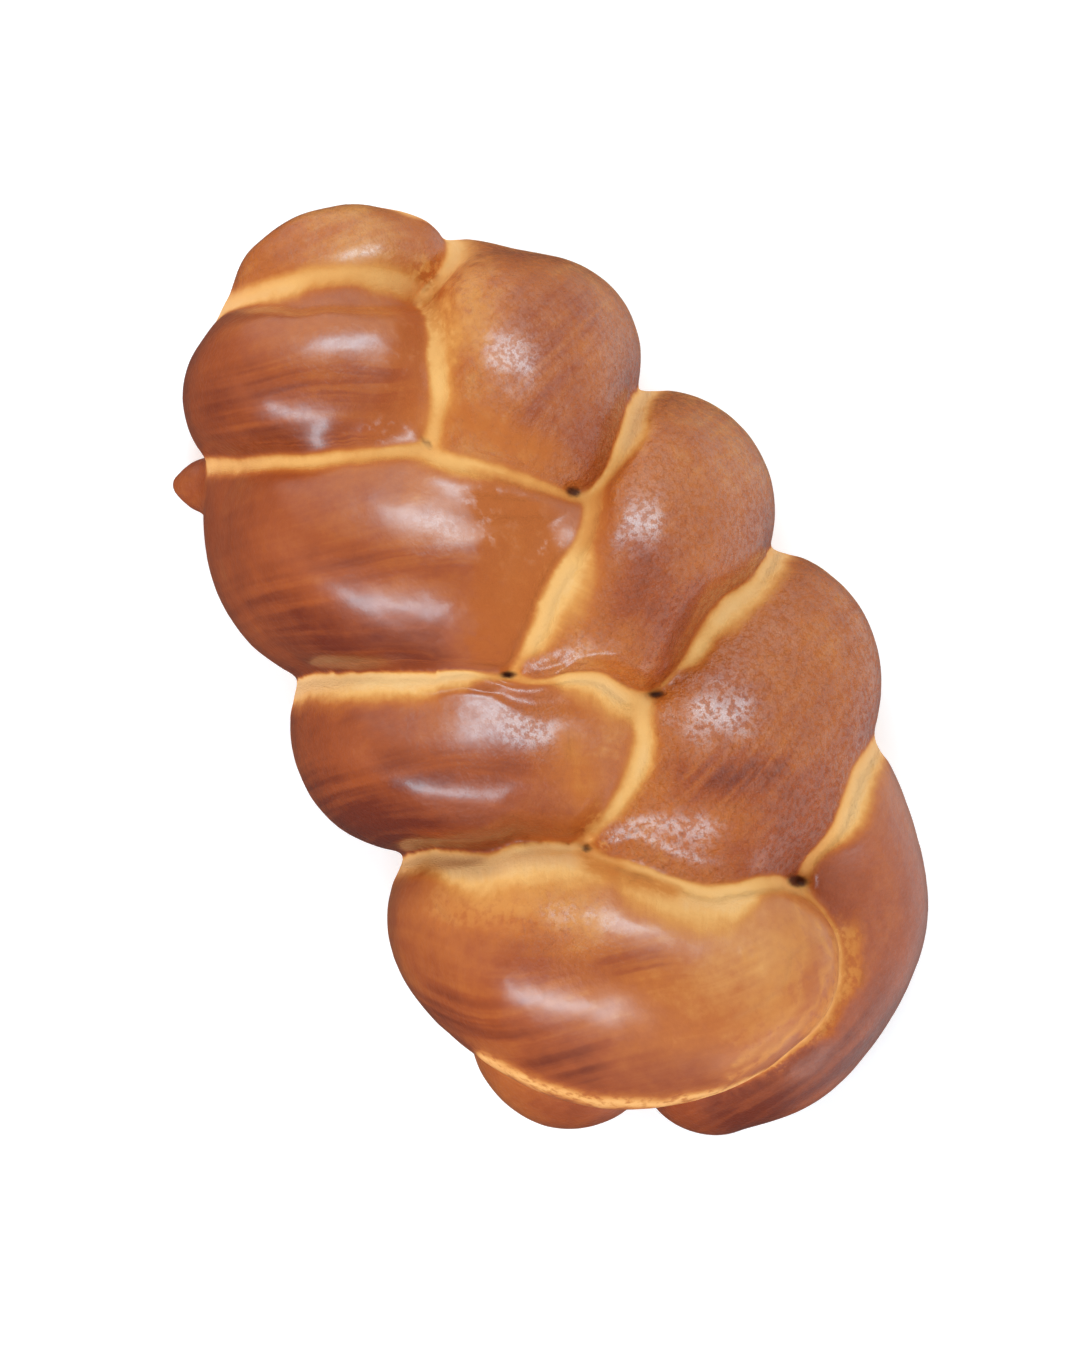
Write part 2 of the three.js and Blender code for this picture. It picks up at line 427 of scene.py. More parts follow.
# %% The dome on each turn
# Turn, x, y, height, lean along x and y, radius of the round along it and across it, its heading in degrees,
# and the drop in millimetres over which it fades.
DOMES = [
    (0, -101.6, -2.6, 51.8, 0.0, 0.0, 55, 24, 47, 9),
    (1, -87.2, -19.2, 67.8, 0.0, 0.0, 48, 31, 54, 9),
    (2, -69.5, 23.1, 67.5, 0.21, -0.24, 56, 28, 158, 5),
    (3, -35.1, -19.1, 76.7, 0.0, 0.0, 66, 31, 48, 9),
    (4, -20.4, 31.8, 69.4, 0.21, -0.24, 66, 27, 152, 4),
    (4, 1.3, 7.7, 71.2, -0.17, 0.24, 38, 36, 62, 2.5),
    (5, 16.8, -25.9, 70.5, 0.0, 0.0, 67, 23, 57, 9),
    (6, 30.8, 27.7, 64.2, 0.21, -0.24, 60, 36, 152, 3.5),
    (6, 46.6, 7.2, 65.1, -0.17, 0.24, 56, 38, 62, 3),
    (7, 67.3, -26.1, 75.1, 0.0, 0.0, 100, 35, 50, 10),
]
print(len(DOMES), "domes")

# %% Swell each turn into a dome
DOME_HOLD = 0.1  # the lower, the firmer a dome holds the skin near its edge
FURROW_KEPT = (0, 8)
DOMED_ABOVE = (22, 38)
FARTHEST_SWELL = 9


def along_and_across(points, x, y, heading):
    """Each point's place along and across a heading in degrees, counted from (x, y) and seen from above."""
    along = np.array([math.cos(math.radians(heading)), math.sin(math.radians(heading))])
    offset = points[:, :2] - (np.array([x, y]) + shift)
    return offset @ along, offset @ [-along[1], along[0]], offset


def swell(points, own, furrow):
    """How far each point rises onto the domes of its turn."""
    weights, wanted = np.full(len(points), 1e-9), np.zeros(len(points))
    for turn, x, y, height, *lean, round_along, round_across, heading, fade in DOMES:
        along, across, offset = along_and_across(points, x, y, heading)
        drop = along**2 / (2 * round_along) + across**2 / (2 * round_across)
        weight = np.exp(-((drop / fade) ** 2)) * (own == COLUMN[turn])
        weights += weight
        wanted += weight * (height + offset @ lean - drop)
    rise = FARTHEST_SWELL * np.tanh((wanted / weights - points[:, 2]) / FARTHEST_SWELL)
    rise *= weights / (weights + DOME_HOLD)
    return rise * smooth_rise(furrow, *FURROW_KEPT) * smooth_rise(points[:, 2], *DOMED_ABOVE)


rise = swell(points, own, furrow)
points[:, 2] += rise
move_skin(loaf, points)
print("turns sunk by", -rise.min().round(1), "and raised by", rise.max().round(1), "mm")

# %% [markdown]
# ## The open pits
# Where three turns meet there is often a small dark hole into the loaf, because round strands can't fill the
# corner between them. A pit is pressed in with the shape of a fingertip: deepest in the middle and fading to
# nothing at its rim.

# %% Press the pits in
# x, y, half length, half width, depth, and the direction of the long side in degrees.
PITS = [
    (-59.5, -4.5, 2.6, 0.9, 1.8, 10),
    (-33.5, 20.2, 2.0, 1.2, 3.0, 50),
    (-3.2, -13.0, 2.4, 0.9, 2.8, 62),
    (17.0, 15.3, 2.4, 1.0, 3.0, 62),
    (41.0, -15.8, 1.3, 0.9, 2.2, 62),
    (36.5, -15, 1.2, 0.8, 1.2, 20),
    (71, 24, 2.6, 1.5, 3.6, 50),
    (-91, 12, 1.8, 0.9, 1.4, 0),
    (33.1, 42.8, 0.9, 0.7, 0.9, 0),
    (13.2, 35.0, 0.8, 0.6, 0.8, 0),
    (52.0, -9.5, 2.2, 0.7, 0.9, 80),
]
PITTED_ABOVE = 20


def pit_depth(points):
    """How deep each point is pressed in, in millimetres."""
    depth = np.zeros(len(points))
    for x, y, half_length, half_width, deep, heading in PITS:
        along, across, _ = along_and_across(points, x, y, heading)
        reach = (along / half_length) ** 2 + (across / half_width) ** 2
        depth = np.maximum(depth, deep * np.maximum(1 - reach / 2, 0) ** 2)
    return depth * (points[:, 2] > PITTED_ABOVE)


points = skin_points(loaf)
pressed = pit_depth(points)
points[:, 2] -= pressed
move_skin(loaf, points)
print("pits pressed in:", len(PITS), "deepest", pressed.max().round(1), "mm")

# %% [markdown]
# ## Stretch stripes
# The loaf is brushed with egg before it goes in the oven. It then rises, and along every furrow a strip of
# dough that was hidden comes into the open without any egg on it. It stays pale and matt. The strip lies on
# the turn that dives under its neighbour, on the side toward the knob, and is widest in the middle of each
# furrow. A few widths along each furrow are enough: the width at any point is a blend of the ones near it.

# %% Width and shade of the stripe along each furrow
# (turn beside it, turn that carries the stripe): places (x, y, width, shade) along the furrow.
# Shade 0 is pale yellow and 0.4 is deep orange.
STRIPES = {
    (0, 1): [(-110, -22, 2.2, 0.04), (-104, -4, 2.0, 0.22), (-97, 8, 2.4, 0.12)],
    (0, 2): [(-92, 12, 5, 0.16), (-97, 16, 6, 0.04), (-103, 19, 5, 0.04)],
    (1, 2): [(-86, 10, 5.5, 0.34), (-78, 7, 4.2, 0.14), (-70, 3, 3.8, 0.08), (-63, -2, 2.4, 0.16)],
    (1, 3): [(-79, -50, 3, 0.1), (-72, -31, 3, 0.1), (-64, -14, 2.8, 0.22)],
    (2, 3): [(-53, 4, 3.4, 0.12), (-46, 12, 2.4, 0.3), (-38, 20, 2, 0.3)],
    (2, 4): [(-49, 47, 6, 0), (-43, 36, 8, 0), (-37, 27, 3, 0.2)],
    (3, 4): [(-27, 18, 4, 0.34), (-19, 8, 5, 0.06), (-10, -5, 3.4, 0.06), (-5, -11, 1.4, 0.2)],
    (3, 5): [(-26, -57, 7.5, 0), (-18, -40, 7.5, 0), (-10, -24, 6.5, 0), (-5, -14, 2.2, 0.12)],
    (4, 5): [(0, -8, 1.6, 0.3), (5, 0, 3.4, 0.04), (11, 10, 4.0, 0), (16, 15, 1.6, 0.2)],
    (4, 6): [(2, 56, 6.5, 0.02), (8, 43, 7, 0.04), (14, 30, 4.4, 0.06), (17, 20, 1.6, 0.3)],
    (5, 6): [(22, 14, 2.6, 0.12), (29, 6, 3.2, 0.04), (36, -6, 2.2, 0.04), (39, -11, 1.6, 0.2)],
    (5, 7): [(24, -56, 6, 0.04), (31, -38, 13, 0), (38, -22, 16, 0.02)],
    (6, 7): [
        (46, -13, 6, 0.3),
        (51, -8, 14, 0.14),
        (56, -3, 13, 0.08),
        (60, 1, 10, 0.06),
        (65, 8, 9, 0.04),
        (70, 20, 4, 0.14),
    ],
    (6, 8): [(54, 52, 4.5, 0), (62, 42, 5, 0), (69, 31, 3, 0.2)],
    (7, 8): [(78, 28, 1.6, 0.3), (93, 25, 2, 0.2), (102, 9, 2, 0.2), (107, -9, 1.5, 0.2)],
    (8, 7): [(93, 25, 1.8, 0.1), (102, 9, 2.4, 0.1), (109, -9, 2, 0.1), (98, -35, 1.8, 0.1)],
    (9, 7): [(80, -58, 1.8, 0.1), (96, -42, 1.8, 0.1)],
}
print(len(STRIPES), "stripes to lay")

# %% Lay the stripes
NO_STRIPE = 2.2  # the share far from any stripe, well past its brown edge at 1
FIBRE_STEP = 40.0  # keeps the fibres of one stripe apart from the next one's
# The rim of the turn beside a stripe is a little bare too, and less so where its neighbour runs level with it.
LIP_WIDTH, THIN_LIP_WIDTH, RIM_SHADE = 1.5, 0.15, 0.16
THIN_LIPS = [(3, 5), (5, 7)]


class Stripes:
    """What the stripes say about each point of the skin."""

    def __init__(self, points, distances, own):
        count = len(points)
        self.share = np.full(count, NO_STRIPE)  # 0 in the furrow and 1 at the stripe's brown edge
        self.shade = np.zeros(count)
        self.fibres = np.zeros((count, 3))  # millimetres along and across the stripe, and its number
        for number, ((beside, carrier), marks) in enumerate(STRIPES.items()):
            rim = np.flatnonzero(own == COLUMN[beside])
            lip_width = THIN_LIP_WIDTH if (beside, carrier) in THIN_LIPS else LIP_WIDTH
            lip = distances[rim, COLUMN[carrier]] / lip_width
            nearer = lip < self.share[rim]
            self.share[rim[nearer]], self.shade[rim[nearer]] = lip[nearer], RIM_SHADE
            marks = np.array(marks, float)
            places = marks[:, :2] + shift
            here = np.flatnonzero(own == COLUMN[carrier])
            squared = ((points[here, None, :2] - places) ** 2).sum(2)
            weight = 1 / (squared + 1) ** 2
            width, shade = (weight @ marks[:, 2:] / weight.sum(1)[:, None]).T
            across = distances[here, COLUMN[beside]]
            nearer = across / width < self.share[here]
            here, across = here[nearer], across[nearer]
            self.share[here] = across / width[nearer]
            self.shade[here] = shade[nearer]
            heading = (places[-1] - places[0]) / np.linalg.norm(places[-1] - places[0])
            along = (points[here, :2] - places[0]) @ heading
            self.fibres[here] = np.column_stack([along, across, np.full(len(here), FIBRE_STEP * number)])


points = skin_points(loaf)
stripes = Stripes(points, distances, own)
stripe = stripes.share
print("stripes cover", round(100 * (stripe < 1).mean(), 1), "% of the skin")

# %% [markdown]
# ## Marks of the oven
# Not every pale or dark place follows a furrow. Where the last turn was tucked in, the crust cracked into thin
# pale lines side by side, and along its lower edge it lifted off the turn below and left one pale rim. Other
# places browned in streaks. Painting them by hand would tie them to this one net, so each mark is a line across
# the skin with a width and a strength, and slow noise makes the line wobble. One table bares the dough, with a
# shade of its own for each mark, and the other bakes it darker. Three wide pale marks in the first table are a
# painted sheen: the pale of broad reflections on the knob and on turns 2 and 7. A mark fades before it reaches
# a furrow, so that it never spills onto the next turn. A blister is a small ring of raised skin with a dimple
# inside.

# %% Lines and blisters
# Turn, half width, strength, shade (0 pale, 0.6 deep orange), and the (x, y) places of the line.
BARE_AND_SHEEN_MARKS = [
    (7, 1.1, 0.85, 0.12, [(83, 29), (90, 27.2), (97.2, 22), (102.4, 15), (106.4, 5.3), (107.2, -4.4)]),
    (7, 2.0, 0.8, 0.0, [(107.2, -4.4), (105.6, -15.6), (101.2, -29), (94.3, -41.2), (84.7, -51.6), (72.5, -60.6)]),
    (7, 1.3, 0.5, 0.1, [(82, 24), (89.5, 22), (95.6, 17), (100, 9), (102.8, 1.8), (103.4, -11.6)]),
    (7, 1.2, 0.45, 0.1, [(74.5, 20.5), (81.8, 20), (88.9, 17.1), (95.5, 9.6), (99.4, -0.3), (101, -9.2)]),
    (7, 9.0, 0.45, 0.3, [(80, 19.4), (87.5, 15), (94, 7), (98, -3)]),
    (7, 3.5, 0.85, 0.3, [(87.7, 27), (97.4, 20.5), (102.9, 11)]),
    # A painted sheen: the pale of a broad reflection on the top of turn 7, painted into the colour.
    (7, 6.0, 0.5, 0.2, [(38, -52), (46, -36), (55, -23)]),
    (2, 1.6, 0.5, 0.12, [(-91, 17), (-84, 15), (-76, 13)]),
    (2, 0.9, 0.6, 0.12, [(-88, 15.6), (-80, 12.4), (-73, 10.5)]),
    # A painted sheen: the pale of a broad reflection on the upper left of turn 2, painted into the colour.
    (2, 7.0, 0.4, 0.1, [(-95, 24), (-87, 21), (-76, 17)]),
    # A painted highlight: the pale of a broad highlight on the middle of the knob, painted into the colour.
    (0, 6.0, 0.4, 0.2, [(-106, -8), (-102, 2)]),
    (8, 3.0, 0.8, 0.3, [(88, 29), (98, 24), (104, 13)]),
    (1, 6.0, 0.95, 0.62, [(-85.6, 6.4), (-77.4, 0.5), (-70, -7), (-67.5, -13)]),
    (3, 8.0, 0.95, 0.58, [(-40, 1.6), (-31, 7), (-24, 6), (-17, -3), (-11, -13)]),
    (3, 5.0, 0.9, 0.6, [(-32, -0.1), (-21.2, -9.9)]),
    (7, 2.4, 0.75, 0.42, [(44, -16.8), (49.9, -12), (58, -3.5)]),
    (2, 5.0, 0.6, 0.5, [(-59.6, 6.8), (-51.2, 12.8), (-44.3, 18.4)]),
    (5, 5.0, 0.6, 0.4, [(17, -8), (27, -9), (35, -12)]),
]
# Turn, half width, strength, and the (x, y) places of the line.
BAKED_MARKS = [
    (3, 4.0, 0.3, [(-45.1, -37.6), (-38.1, -23.0), (-30.9, -8.4)]),
    (3, 7.0, 0.35, [(-44.5, -53.8), (-28.8, -46.4), (-16.9, -29)]),
    (5, 5.0, 0.35, [(4.4, -45.6), (8.9, -34.9), (14.3, -24.6)]),
    (5, 7.0, 0.4, [(-0.2, -64.2), (9.3, -58.7), (19.9, -48.6)]),
    (7, 3.5, 0.35, [(55.8, -46.7), (63.9, -30.0), (70.5, -15.1)]),
    (7, 6.0, 0.45, [(58, -63.6), (70.6, -54.6), (83.4, -40.4)]),
    (6, 5.0, 0.5, [(37.0, 13.2), (43.0, 22), (45.8, 32.2)]),
    (4, 7.0, 0.35, [(-10.8, 29.5), (-4.2, 22), (5, 30)]),
    (2, 6.0, 0.25, [(-72, 38), (-62, 30), (-54, 22)]),
    (2, 4.0, 0.4, [(-72.4, 41.2), (-65, 41.2)]),
    (1, 6.0, 0.4, [(-89.7, -32.4), (-81, -18.6), (-77.6, -7.3)]),
    (1, 6.0, 0.35, [(-91, -42.2), (-80.5, -37.3), (-69.7, -22)]),
    (8, 9.0, 0.5, [(112.9, 14.9), (113.5, 1.4), (112, -12)]),
]
# x, y, radius of the ring, and height.
BLISTERS = [(79.8, 6.2, 1.7, 0.35), (37.9, -14.8, 1.5, 0.35), (34.1, -19.4, 1.0, 0.25), (42.5, -12, 0.9, 0.25)]
print(len(BARE_AND_SHEEN_MARKS), "bare marks,", len(BAKED_MARKS), "baked marks and", len(BLISTERS), "blisters to draw")

# %% Wobbly lines and soft edges
NOISE_SHIFT = Vector((11.3, 4.7, 2.9))
WOBBLE_SIZE, WOBBLE = 8, 1.3
EDGE_ROUNDS = 4


def lumps(points, size, octaves=1):
    """Smooth noise between about -1 and 1 whose lumps are size millimetres across."""
    return np.array([noise.fractal(Vector(p) / size + NOISE_SHIFT, 1.0, 2.0, octaves) for p in points])


def distance_to_line(points, line):
    """How far each point is, seen from above, from a line through several places."""
    line = np.array(line, float) + shift
    nearest = np.full(len(points), np.inf)
    for start, finish in zip(line, line[1:]):
        reach = finish - start
        share = np.clip((points[:, :2] - start) @ reach / (reach @ reach), 0, 1)
        nearest = np.minimum(nearest, np.linalg.norm(points[:, :2] - start - share[:, None] * reach, axis=1))
    return nearest


def edge_ends(piece):
    """The points at the two ends of every edge of the net."""
    ends = np.empty(len(piece.data.edges) * 2, dtype=int)
    piece.data.edges.foreach_get("vertices", ends)
    return ends.reshape(-1, 2).T


def softened(piece, values, rounds):
    """values with each point's neighbours mixed in, so that a mark has no saw teeth along the net."""
    first, second = edge_ends(piece)
    neighbours = np.bincount(first, minlength=len(values)) + np.bincount(second, minlength=len(values))
    for _ in range(rounds):
        around = np.bincount(first, values[second], len(values)) + np.bincount(second, values[first], len(values))
        values = (values + around / neighbours) / 2
    return values


def inside_turn(piece, own, turn):
    """1 on one turn of the braid, falling to 0 just before its furrows."""
    within = softened(piece, (own == COLUMN[turn]).astype(float), EDGE_ROUNDS)
    return np.maximum(2 * within - 1, 0)


wobbly = points + WOBBLE * lumps(points, WOBBLE_SIZE, 2)[:, None]
print("lines wobble by up to", np.abs(wobbly - points).max().round(1), "mm")

# %% Draw the marks and raise the blisters
MARKED_ABOVE = (8, 16)
MARK_RISE = 0.3
RING_WIDTH, DIMPLE_DEPTH, DIMPLE_WIDTH = 0.38, 0.9, 0.6  # shares of a blister's radius and height
BLISTER_BARE = 0.4


def marks_on(points, own, marks):
    """How strongly the marks show at each point, and the shade that they have there."""
    strongest, shade, total = np.zeros(len(points)), np.zeros(len(points)), np.full(len(points), 1e-6)
    for turn, half_width, strength, mark_shade, line in marks:
        fading = np.exp(-((distance_to_line(wobbly, line) / half_width) ** 2))
        fading *= strength * inside_turn(loaf, own, turn) * smooth_rise(points[:, 2], *MARKED_ABOVE)
        strongest = np.maximum(strongest, fading)
        shade += mark_shade * fading**3
        total += fading**3
    return strongest, shade / total


def blisters_on(points):
    """The rise of the skin at each blister, and how near each point is to its ring."""
    rise, ring_share = np.zeros(len(points)), np.zeros(len(points))
    for x, y, radius, height in BLISTERS:
        away = away_from(points, (x, y)) / radius
        ring = np.exp(-(((away - 1) / RING_WIDTH) ** 2)) * (points[:, 2] > PITTED_ABOVE)
        rise += height * (ring - DIMPLE_DEPTH * np.exp(-((away / DIMPLE_WIDTH) ** 2)))
        ring_share = np.maximum(ring_share, ring)
    return rise, ring_share


bare_and_sheen_marks, mark_shade = marks_on(points, own, BARE_AND_SHEEN_MARKS)
baked_marks, _ = marks_on(points, own, [(*mark[:3], 1.0, mark[3]) for mark in BAKED_MARKS])
blister_rise, blister_rings = blisters_on(points)
points[:, 2] += blister_rise + MARK_RISE * bare_and_sheen_marks
move_skin(loaf, points)
bare_and_sheen_marks = np.maximum(bare_and_sheen_marks, BLISTER_BARE * blister_rings)
print("bare marks cover", round(100 * (bare_and_sheen_marks > 0.5).mean(), 1), "% of the skin")

# %% [markdown]
# ## Dough isn't perfect
# Every turn of a hand-made braid is a little lumpy. Two sizes of slow noise push the skin in and out: broad
# swells from the rising and small ripples from the handling. Where the dough has torn, the push is quick and
# rough. The stripes sit a little lower than the egg-washed crust, because the crust sets hard first.

# %% Swells, ripples and torn places
SWELL_SIZE, SWELL_DEPTH = 26, 0.55
RIPPLE_SIZE, RIPPLE_DEPTH = 7, 0.14
TEAR_SIZE, TEAR_DEPTH = 2.6, 0.55
TEAR_REACH = (1, 6)  # full strength this near a furrow, and none this far from it
STRIPE_SINK = 0.35
SUNK_SHARE = (0.8, 1.3)  # the sink fades out between these shares of the stripe's width
SINK_BESIDE = (0.3, 1.5)  # and grows from nothing to full this far from the furrow
PUSHED_ABOVE = (0.5, 8)
# x, y, radius and roughness of each place where the dough tore open.
TORN_PLACES = [
    (-91, 14, 6, 0.9),
    (-82, 9, 4, 0.6),
    (-74, 6, 3, 0.4),
    (88, 27, 5, 0.7),
    (96, 21, 5.5, 0.9),
    (102, 11, 5.5, 1.0),
    (106, 0, 5, 0.8),
    (109, -12, 4, 0.4),
    (36, -12, 4, 0.7),
    (74, 10, 3, 0.5),
]


def torn_share(points):
    """How torn the dough is at each point, from 0 to 1."""
    torn = np.zeros(len(points))
    for x, y, radius, roughness in TORN_PLACES:
        reach = away_from(points, (x, y)) / radius
        torn = np.maximum(torn, roughness * np.maximum(1 - reach**2 / 2, 0))
    return torn


torn = torn_share(points) * (1 - smooth_rise(furrow, *TEAR_REACH))
above_tray = smooth_rise(points[:, 2], *PUSHED_ABOVE)
push = SWELL_DEPTH * lumps(points, SWELL_SIZE) + RIPPLE_DEPTH * lumps(points, RIPPLE_SIZE, 2)
push += TEAR_DEPTH * torn * lumps(points, TEAR_SIZE, 2)
push -= STRIPE_SINK * (1 - smooth_rise(stripe, *SUNK_SHARE)) * smooth_rise(furrow, *SINK_BESIDE)
points += skin_normals(loaf) * (push * above_tray)[:, None]
move_skin(loaf, points)
print("pushed by", push.min().round(2), "to", push.max().round(2), "mm")

# %% [markdown]
# ## A last rub with a wet hand
# Nudges and domes leave the net a little stepped, most of all beside the furrows where it was squeezed. Each
# point is drawn toward its neighbours a few times, and more often there, but never inside a pit. The loaf has
# then shrunk by a hair, so it is stretched back to the size of the plain one.

# %% Smooth out the net's own steps
SMOOTHING_ROUNDS, FURROW_ROUNDS = 2, 8
SMOOTHING_SHARE = 0.5
FURROW_REACH = 3
PIT_EDGE = 0.1
soft = bmesh.new()
soft.from_mesh(loaf.data)
by_furrow = [vert for vert, near in zip(soft.verts, (furrow < FURROW_REACH) & (pressed < PIT_EDGE)) if near]
for verts, rounds in ((soft.verts, SMOOTHING_ROUNDS), (by_furrow, FURROW_ROUNDS)):
    for _ in range(rounds):
        bmesh.ops.smooth_vert(
            soft, verts=verts, factor=SMOOTHING_SHARE, use_axis_x=True, use_axis_y=True, use_axis_z=True
        )
print("smoothed", len(by_furrow), "points beside the furrows more than the rest")
soft.to_mesh(loaf.data)
soft.free()

# %% Fit the dressed loaf to the plain one's box
points = skin_points(loaf)
box_low, box_high = (np.array(corner) / MM for corner in plain_box)
own_low, own_high = points.min(0), points.max(0)
points = box_low + (points - own_low) * (box_high - box_low) / (own_high - own_low)
move_skin(loaf, points)
for polygon in loaf.data.polygons:
    polygon.use_smooth = True
print("stretched by", ((box_high - box_low) / (own_high - own_low)).round(4), "to fill the box")

# %% [markdown]
# ## Browning and painted shade
# Egg-washed dough browns most where it is thick with egg and sees the most heat: the backs of the turns, and
# the slope that faces away from the knob, which also gets painted shade there as it turns away from the lights.
# One flank, on the left of the view, is painted darker as shade, and the right flank, on the bright side of the
# room, is painted lighter. The dough stays more orange in the dip along the middle of the loaf, and lightens
# again just above the tray. A plain noise texture knows nothing of all that, so the browning and the painted
# shade are worked out here for every point from the way it faces and the turn it lies on.

# %% Work out the browning and painted shade of each point
MIDDLE_BROWNING = 0.60
TURN_BROWNING = {0: -0.05, 1: 0.03, 2: 0, 3: 0.02, 4: 0, 5: 0.03, 6: 0.04, 7: -0.08, 8: 0.1, 9: -0.16, 1.5: 0}
SLOPE_BROWNING_AND_SHADE, SHADED_LEAN = 0.16, (0.0, 0.8)
MIDDLE_DIP, MIDDLE_DIP_Y, MIDDLE_DIP_WIDTH = 0.12, 3, 16
FLANK_PAINTED_SHADE, FLANK = 0.10, (22, 50)
FOOT_PALING, FOOT_SLOPE, FOOT_HEIGHT = 0.26, (-0.15, 0.3), (22, 38)


def browning_and_shade_of(points, own, own_ball):
    """0 is bare dough and 1 the darkest crust, with painted shade on the slope away from the knob and on the left
    flank, before the stripes are taken out of it.
    """
    lean = (points[:, 0] - balls[own_ball, 0]) / balls[own_ball, 3]
    turn_shade = np.array([TURN_BROWNING[turn] for turn in TURNS] + [0])[own]
    # The slope away from the knob is darker: part browning, part painted shade where it turns from the lights.
    brown_and_shade = MIDDLE_BROWNING + turn_shade + SLOPE_BROWNING_AND_SHADE * smooth_rise(lean, *SHADED_LEAN)
    brown_and_shade -= MIDDLE_DIP * np.exp(-(((points[:, 1] - shift[1] - MIDDLE_DIP_Y) / MIDDLE_DIP_WIDTH) ** 2))
    # Painted shade and light: the left flank is painted darker and the right flank, on the bright side of the room,
    # lighter.
    brown_and_shade -= FLANK_PAINTED_SHADE * smooth_rise(np.abs(points[:, 1]), *FLANK) * np.sign(points[:, 1])
    foot = (1 - smooth_rise(skin_normals(loaf)[:, 2], *FOOT_SLOPE)) * (1 - smooth_rise(points[:, 2], *FOOT_HEIGHT))
    return brown_and_shade - FOOT_PALING * foot


brown_and_shade = browning_and_shade_of(points, own, own_ball)
print("browning:", brown_and_shade.min().round(2), "to", brown_and_shade.max().round(2))

# %% [markdown]
# ## Grain and glaze
# Dough has a grain, because a strand is rolled and pulled: streaks run along it, and pale fibres run out from
# each furrow. Both are drawn later by noise that is stretched along directions kept on the skin. Where two
# turns meet, the directions jump, which would leave jagged dark lines, so such seams are found here and the
# streaks fade out at them. Egg wash dries smooth on some turns and grainy on others, and grainy wash breaks a
# highlight into speckles. The numbers are kept on the skin as named attributes, one value a point, so that the
# crust's colours can follow the loaf's own shape.

# %% Where the grain jumps and where the glaze is grainy
GRAIN_JUMP, SEAM_SPREAD, SEAM_SOFTENING = 4, 4, 6
PEEL = {0: 0.6, 1: 0.25, 2: 0.8, 3: 0.15, 4: 0.9, 5: 0.3, 6: 1.0, 7: 0.1, 8: 0.3, 9: 0.2, 1.5: 0.3}
CRUMB_PEEL = 0.5
# x, y, radius and strength of places where the egg wash dried grainy.
GRAINY_PLACES = [(50, -30, 14, 1.0), (10, -14, 11, 0.9), (-86, 22, 14, 1.0), (-40, -12, 9, 0.4)]


def seams_of(piece, rows):
    """1 where the grain's direction jumps, as between two turns, and 0 elsewhere."""
    first, second = edge_ends(piece)
    jumps = np.linalg.norm(rows[first] - rows[second], axis=1) > GRAIN_JUMP
    seam = np.zeros(len(rows))
    seam[first[jumps]] = seam[second[jumps]] = 1
    return np.minimum(SEAM_SPREAD * softened(piece, seam, SEAM_SOFTENING), 1)


def graininess(points, own):
    """How grainy the egg wash dried at each point, from 0 to 1."""
    grainy = np.array([PEEL[turn] for turn in TURNS] + [CRUMB_PEEL])[own]
    for x, y, radius, strength in GRAINY_PLACES:
        grainy = np.maximum(grainy, strength * np.exp(-((away_from(points, (x, y)) / radius) ** 2)))
    return grainy


print(len(GRAINY_PLACES), "grainy places besides the turns' own graininess")

# %% Keep the numbers on the skin
STRIPE_SOFTENING, SHADE_SOFTENING, GRAIN_SOFTENING = 8, 12, 12
TURN_STEP = 50  # keeps the streaks of one turn apart from the next one's
UNDERSIDE = (0.3, 2.5)


def keep_on_skin(piece, name, values):
    """Stores one number a point under a name that the material can look up."""
    piece.data.attributes.new(name, "FLOAT", "POINT").data.foreach_set("value", np.asarray(values, np.float32))
    print(f"{name}: {np.min(values):.2f} to {np.max(values):.2f}")


along_strand, across_strand = balls[own_ball, 5], points[:, 0] - balls[own_ball, 0]
grain = np.column_stack([along_strand, across_strand, balls[own_ball, 4] * TURN_STEP])
# The browning kept here includes the painted shade on the slope away from the knob and on the flanks.
keep_on_skin(loaf, "browning_and_shade", brown_and_shade)
keep_on_skin(loaf, "stripe", softened(loaf, stripe, STRIPE_SOFTENING))
keep_on_skin(loaf, "stripe_shade", softened(loaf, stripes.shade, SHADE_SOFTENING))
keep_on_skin(loaf, "bare", bare_and_sheen_marks)
keep_on_skin(loaf, "bare_shade", mark_shade)
keep_on_skin(loaf, "baked", baked_marks)
keep_on_skin(loaf, "torn", torn)
keep_on_skin(loaf, "pit", pressed)
keep_on_skin(loaf, "peel", graininess(points, own))
keep_on_skin(loaf, "underside", 1 - smooth_rise(points[:, 2], *UNDERSIDE))
keep_on_skin(loaf, "seam", np.maximum(seams_of(loaf, grain), seams_of(loaf, stripes.fibres)))
for name, rows in (("grain", grain), ("fibres", stripes.fibres)):
    directions = loaf.data.attributes.new(name, "FLOAT_VECTOR", "POINT")
    rows = np.column_stack([softened(loaf, column, GRAIN_SOFTENING) for column in rows.T])
    directions.data.foreach_set("vector", rows.astype(np.float32).ravel())

# %% [markdown]
# ## The crust's material
# One material carries the whole loaf. A colour ramp runs from bare dough through orange to dark crust, and
# the browning, with its painted shade, looks its colour up there, so every change of shade passes through the
# colours that real baking passes through. Noise of several sizes moves the browning up and down and frays the
# stripe's edges.
# A shade of 0 is bare dough and 1 the darkest crust, all through.

# %% Small helpers for building a material
def srgb(red, green, blue):
    """A colour given from 0 to 255, as the linear colour that a shader needs."""
    channels = np.array([red, green, blue]) / 255
    linear = np.where(channels <= 0.04045, channels / 12.92, ((channels + 0.055) / 1.055) ** 2.4)
    return (*linear.tolist(), 1.0)


